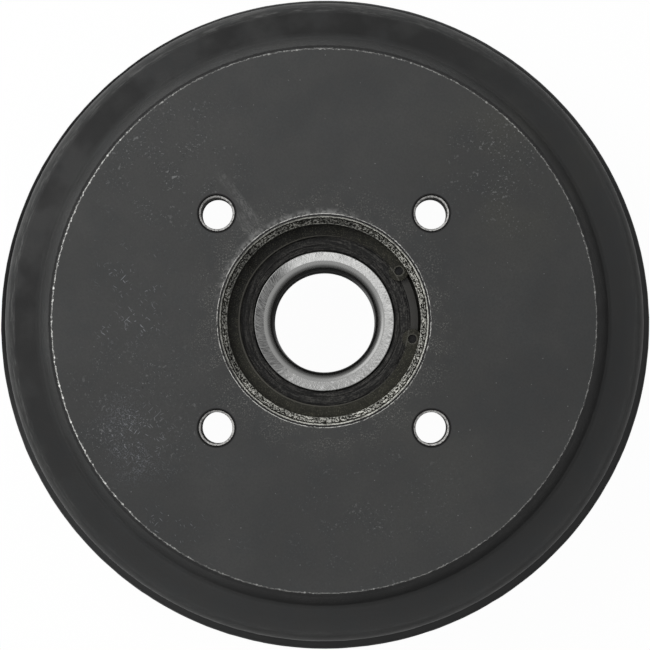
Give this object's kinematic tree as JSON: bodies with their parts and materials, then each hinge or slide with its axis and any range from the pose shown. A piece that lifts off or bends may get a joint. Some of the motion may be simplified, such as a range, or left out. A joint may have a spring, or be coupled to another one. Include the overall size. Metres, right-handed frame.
{
  "type": "brake drum with wheel bearing",
  "caption": "Small-car rear brake drum in black-painted cast iron: stepped face with tapped wheel-bolt holes, hub with circlip and sealed ball bearing, open shoe chamber.",
  "frame": {"origin": "centre of the open rim's plane, on the axle's axis, where the drum rests", "axes": "+Z along the axle, out of the open rim towards the wheel face; +X and +Y midway between wheel bolt holes"},
  "size_m": [0.2252, 0.2252, 0.066],
  "materials": {
    "drum_iron": "satin black paint on cast and turned grey iron",
    "circlip_steel": "black phosphated spring steel",
    "bearing_steel": "ground bearing steel",
    "ball_steel": "polished bearing steel",
    "clip_steel": "bright strip steel",
    "seal_rubber": "moulded black rubber, dusty",
    "cage_nylon": "glass-filled nylon"
  },
  "bodies": {
    "drum": {"brake_drum": "drum_iron", "circlip": "circlip_steel", "bearing_outer_ring": "bearing_steel", "outboard_seal": "seal_rubber", "inboard_seal": "seal_rubber"},
    "inner_rings": {"bearing_inner_ring_outboard": "bearing_steel", "bearing_inner_ring_inboard": "bearing_steel", "inner_ring_clip": "clip_steel"},
    "outboard_row": {"outboard_cage": "cage_nylon", "outboard_ball_01": "ball_steel", "outboard_ball_02": "ball_steel", "outboard_ball_03": "ball_steel", "outboard_ball_04": "ball_steel", "outboard_ball_05": "ball_steel", "outboard_ball_06": "ball_steel", "outboard_ball_07": "ball_steel", "outboard_ball_08": "ball_steel", "outboard_ball_09": "ball_steel", "outboard_ball_10": "ball_steel", "outboard_ball_11": "ball_steel", "outboard_ball_12": "ball_steel", "outboard_ball_13": "ball_steel"},
    "inboard_row": {"inboard_cage": "cage_nylon", "inboard_ball_01": "ball_steel", "inboard_ball_02": "ball_steel", "inboard_ball_03": "ball_steel", "inboard_ball_04": "ball_steel", "inboard_ball_05": "ball_steel", "inboard_ball_06": "ball_steel", "inboard_ball_07": "ball_steel", "inboard_ball_08": "ball_steel", "inboard_ball_09": "ball_steel", "inboard_ball_10": "ball_steel", "inboard_ball_11": "ball_steel", "inboard_ball_12": "ball_steel", "inboard_ball_13": "ball_steel"}
  },
  "joints": [
    {"name": "inner_rings_turn", "type": "hinge", "parent": "drum", "child": "inner_rings", "pos_m": [0, 0, 0.0375], "axis": [0, 0, 1], "continuous": true},
    {"name": "outboard_row_rolls", "type": "hinge", "parent": "drum", "child": "outboard_row", "pos_m": [0, 0, 0.0437], "axis": [0, 0, 1], "continuous": true},
    {"name": "inboard_row_rolls", "type": "hinge", "parent": "drum", "child": "inboard_row", "pos_m": [0, 0, 0.0313], "axis": [0, 0, 1], "continuous": true}
  ],
  "couplings": [
    {"joint": "outboard_row_rolls", "follows": "inner_rings_turn", "ratio": 0.4204},
    {"joint": "inboard_row_rolls", "follows": "inner_rings_turn", "ratio": 0.4204}
  ]
}
